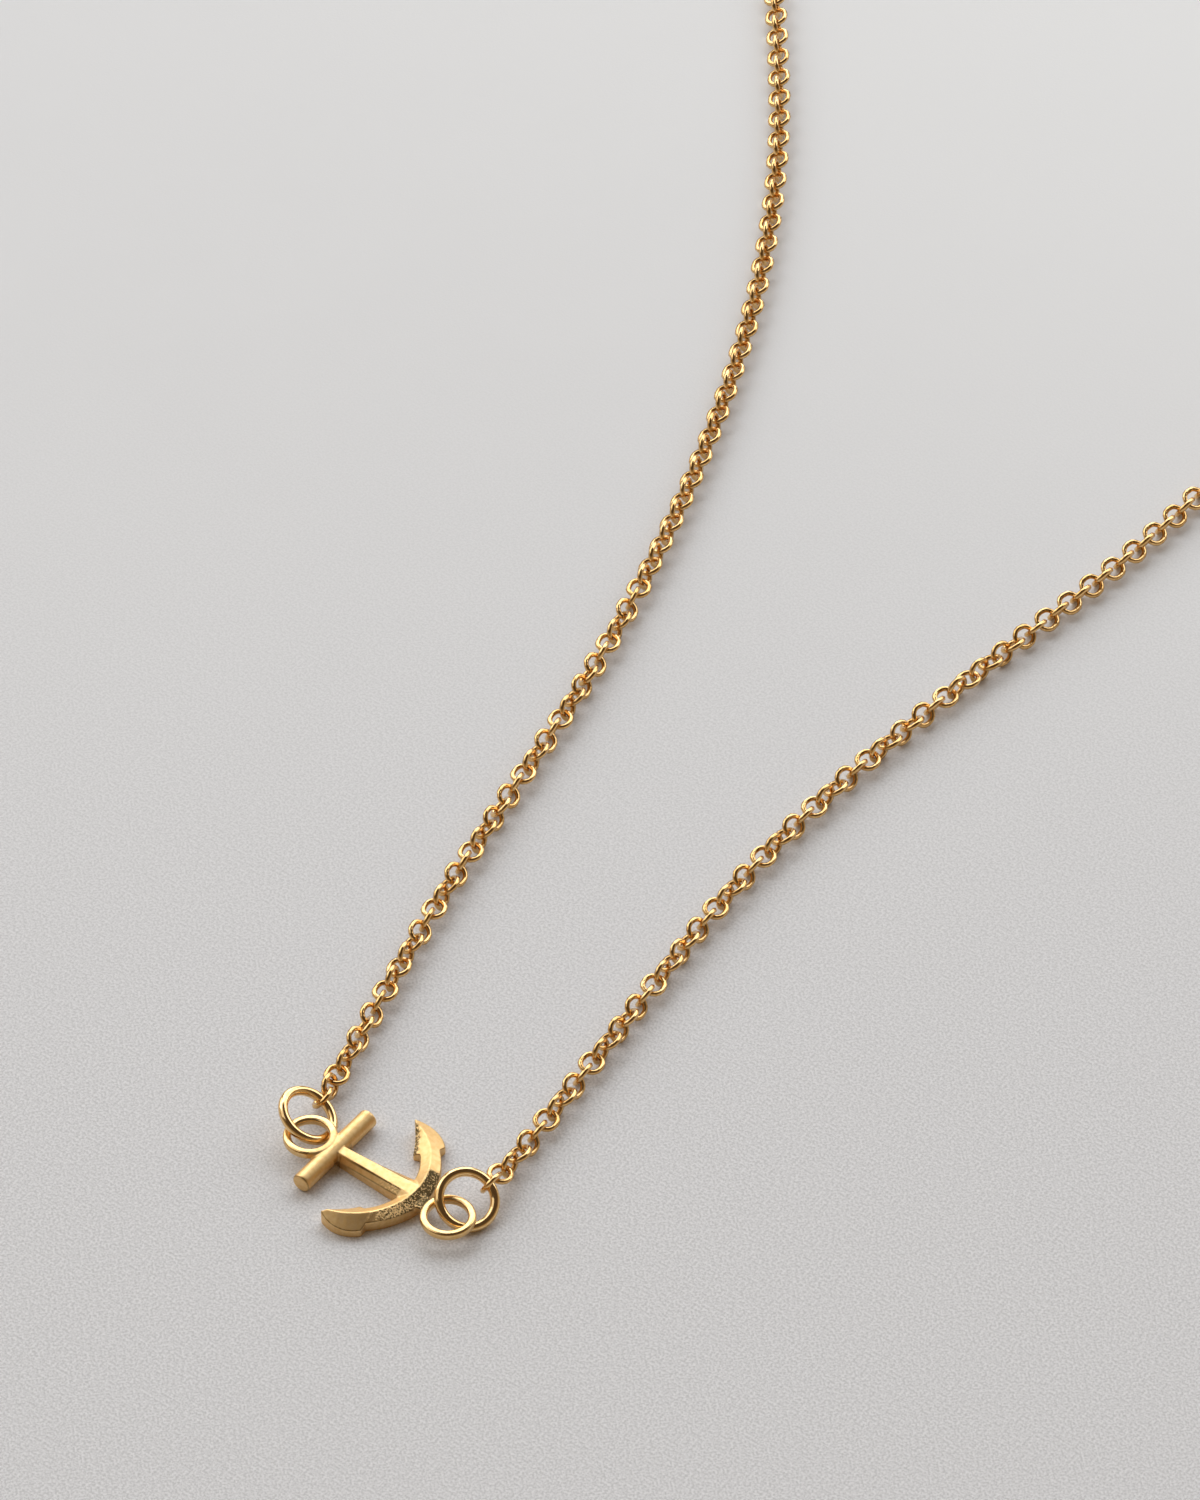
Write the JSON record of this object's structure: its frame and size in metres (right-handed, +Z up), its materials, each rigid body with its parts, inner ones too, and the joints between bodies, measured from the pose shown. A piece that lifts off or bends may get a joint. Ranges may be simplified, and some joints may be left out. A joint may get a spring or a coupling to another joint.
{
  "type": "anchor pendant necklace",
  "caption": "Fine necklace lying flat: a small cast anchor set sideways, held at both ends by jump rings, with a cable chain running to a plain ring clasp.",
  "frame": {"origin": "on the surface that the necklace lies on, at the anchor's flat back under its shank", "axes": "+X along the anchor's shank from the stock to the crown, +Y over the surface from the anchor towards the clasp, +Z up out of the surface"},
  "size_m": [0.0773, 0.1967, 0.0026],
  "materials": {
    "anchor_gold": "polished gold plate",
    "ring_gold": "polished gold plate",
    "chain_gold": "polished gold plate",
    "clasp_gold": "polished gold plate"
  },
  "bodies": {
    "root": {"anchor": "anchor_gold", "stock_jump_ring": "ring_gold", "crown_jump_ring": "ring_gold", "stock_link_01": "chain_gold", "stock_link_02": "chain_gold", "stock_link_03": "chain_gold", "stock_link_04": "chain_gold", "stock_link_05": "chain_gold", "stock_link_06": "chain_gold", "stock_link_07": "chain_gold", "stock_link_08": "chain_gold", "stock_link_09": "chain_gold", "stock_link_10": "chain_gold", "crown_link_01": "chain_gold", "crown_link_02": "chain_gold", "crown_link_03": "chain_gold", "crown_link_04": "chain_gold", "crown_link_05": "chain_gold", "crown_link_06": "chain_gold", "crown_link_07": "chain_gold", "crown_link_08": "chain_gold", "crown_link_09": "chain_gold", "crown_link_10": "chain_gold", "stock_strand": "chain_gold", "crown_strand": "chain_gold", "stock_end_link": "chain_gold", "crown_end_link": "chain_gold", "clasp": "clasp_gold", "end_ring": "clasp_gold"}
  },
  "joints": []
}
